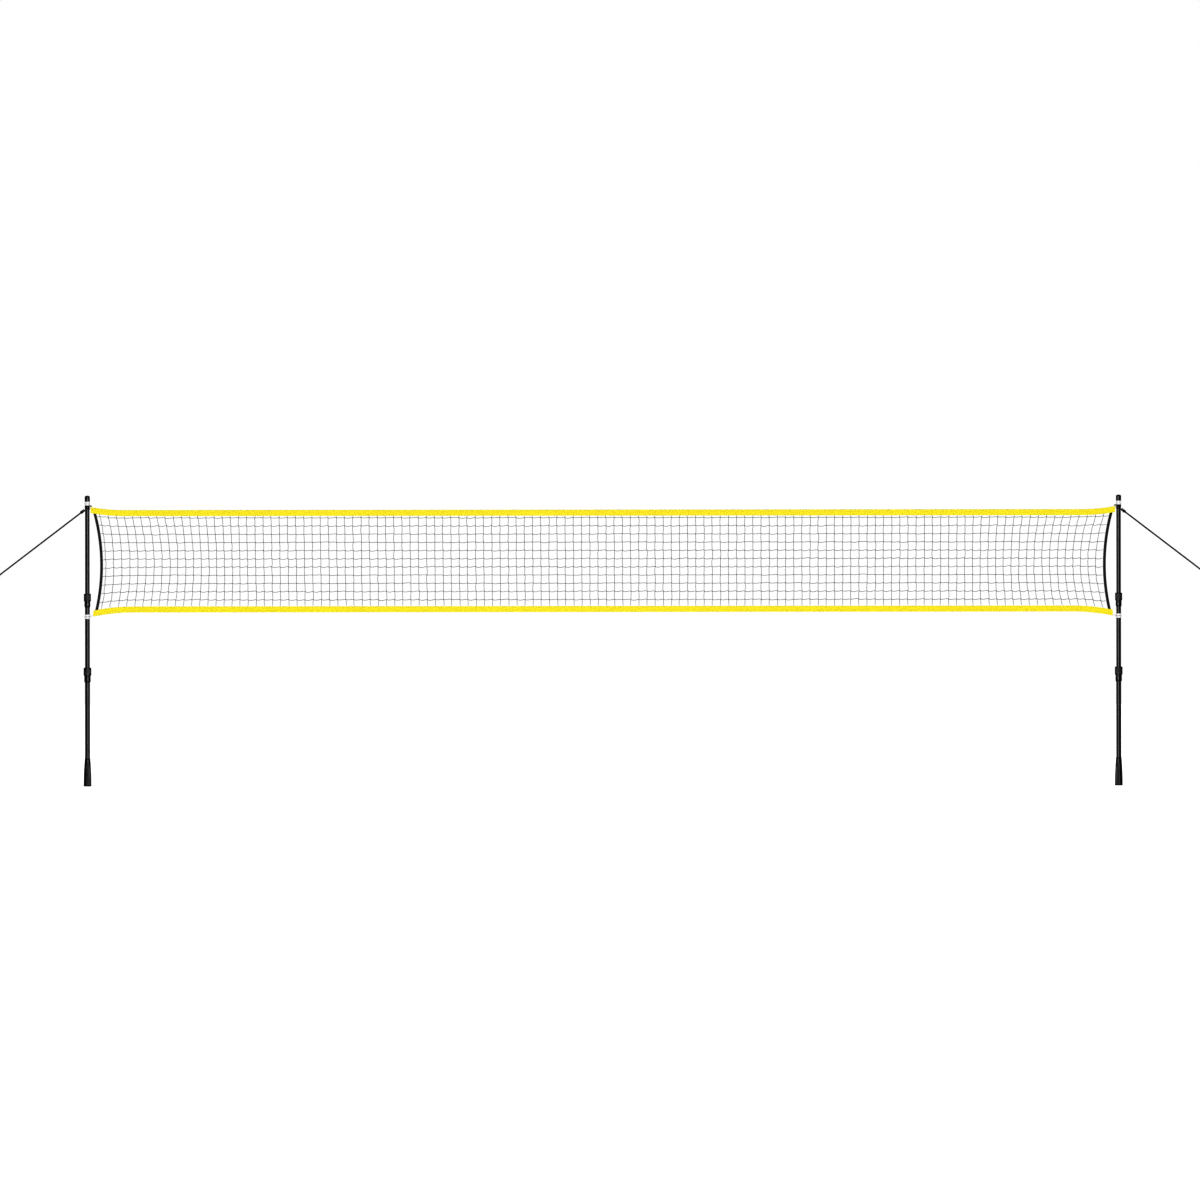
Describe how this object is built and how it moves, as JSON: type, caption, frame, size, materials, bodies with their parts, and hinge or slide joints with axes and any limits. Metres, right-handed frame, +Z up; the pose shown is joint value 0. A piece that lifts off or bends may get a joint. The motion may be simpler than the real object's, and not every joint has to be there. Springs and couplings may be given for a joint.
{
  "type": "volleyball net",
  "caption": "Volleyball net with yellow tapes, stretched between telescopic poles with twist-lock clamps, rubber feet and guy ropes.",
  "frame": {"origin": "on the ground, midway between the two poles", "axes": "+X runs along the net to the right-hand pole as seen from the front, +Y points to the back, +Z is up"},
  "size_m": [10.9132, 0.0668, 2.558],
  "materials": {
    "foot_rubber": "matte moulded rubber",
    "bush_rubber": "matte moulded rubber",
    "tube_paint": "satin black powder coat",
    "clamp_plastic": "textured moulded plastic",
    "collet_plastic": "smooth moulded plastic",
    "cap_plastic": "satin moulded plastic",
    "collar_plastic": "satin moulded plastic",
    "tape_vinyl": "vinyl-coated cloth, sewn",
    "net_strands": "knotted twine",
    "black_webbing": "woven webbing",
    "black_cord": "braided cord",
    "white_cord": "braided cord",
    "guy_rope": "braided rope",
    "hook_steel": "bright zinc plated"
  },
  "bodies": {
    "ground_poles": {"left_foot": "foot_rubber", "left_lower_tube": "tube_paint", "left_lower_clamp_sleeve": "clamp_plastic", "left_lower_collet": "collet_plastic", "right_foot": "foot_rubber", "right_lower_tube": "tube_paint", "right_lower_clamp_sleeve": "clamp_plastic", "right_lower_collet": "collet_plastic"},
    "left_lower_nut": {"left_lower_nut": "clamp_plastic"},
    "left_middle": {"left_middle_tube": "tube_paint", "left_middle_bush": "bush_rubber", "left_upper_clamp_sleeve": "clamp_plastic", "left_upper_collet": "collet_plastic"},
    "left_upper_nut": {"left_upper_nut": "clamp_plastic"},
    "left_top": {"left_top_tube": "tube_paint", "left_top_bush": "bush_rubber", "left_top_cap": "cap_plastic", "left_upper_collar": "collar_plastic", "left_guy_lashing": "black_cord", "left_guy_eye": "guy_rope", "left_guy_rope": "guy_rope", "left_guy_end_eye": "guy_rope", "left_guy_hook": "hook_steel", "left_lower_collar": "collar_plastic", "right_lower_collar": "collar_plastic", "left_side_band": "black_webbing", "right_side_band": "black_webbing", "net": "net_strands", "top_tape": "tape_vinyl", "bottom_tape": "tape_vinyl", "head_cord": "black_cord", "foot_cord": "white_cord"},
    "right_lower_nut": {"right_lower_nut": "clamp_plastic"},
    "right_middle": {"right_middle_tube": "tube_paint", "right_middle_bush": "bush_rubber", "right_upper_clamp_sleeve": "clamp_plastic", "right_upper_collet": "collet_plastic"},
    "right_upper_nut": {"right_upper_nut": "clamp_plastic"},
    "right_top": {"right_top_tube": "tube_paint", "right_top_bush": "bush_rubber", "right_top_cap": "cap_plastic", "right_upper_collar": "collar_plastic", "right_guy_lashing": "black_cord", "right_guy_eye": "guy_rope", "right_guy_rope": "guy_rope", "right_guy_end_eye": "guy_rope", "right_guy_hook": "hook_steel"}
  },
  "joints": [
    {"name": "left_lower_nut_turn", "type": "hinge", "parent": "ground_poles", "child": "left_lower_nut", "pos_m": [-4.5375, 0, 1.0085], "axis": [0, 0, 1], "range_deg": [0, 150]},
    {"name": "left_middle_slide", "type": "slide", "parent": "ground_poles", "child": "left_middle", "axis": [0, 0, 1], "range_m": [-0.2, 0.05]},
    {"name": "left_upper_nut_turn", "type": "hinge", "parent": "left_middle", "child": "left_upper_nut", "pos_m": [-4.5375, 0, 1.661], "axis": [0, 0, 1], "range_deg": [0, 150]},
    {"name": "left_top_slide", "type": "slide", "parent": "left_middle", "child": "left_top", "axis": [0, 0, 1], "range_m": [-0.2, 0.05]},
    {"name": "right_lower_nut_turn", "type": "hinge", "parent": "ground_poles", "child": "right_lower_nut", "pos_m": [4.5375, 0, 1.0085], "axis": [0, 0, 1], "range_deg": [0, 150]},
    {"name": "right_middle_slide", "type": "slide", "parent": "ground_poles", "child": "right_middle", "axis": [0, 0, 1], "range_m": [-0.2, 0.05]},
    {"name": "right_upper_nut_turn", "type": "hinge", "parent": "right_middle", "child": "right_upper_nut", "pos_m": [4.5375, 0, 1.661], "axis": [0, 0, 1], "range_deg": [0, 150]},
    {"name": "right_top_slide", "type": "slide", "parent": "right_middle", "child": "right_top", "axis": [0, 0, 1], "range_m": [-0.2, 0.05]}
  ],
  "couplings": [
    {"joint": "right_middle_slide", "follows": "left_middle_slide", "ratio": 1},
    {"joint": "right_top_slide", "follows": "left_top_slide", "ratio": 1}
  ]
}
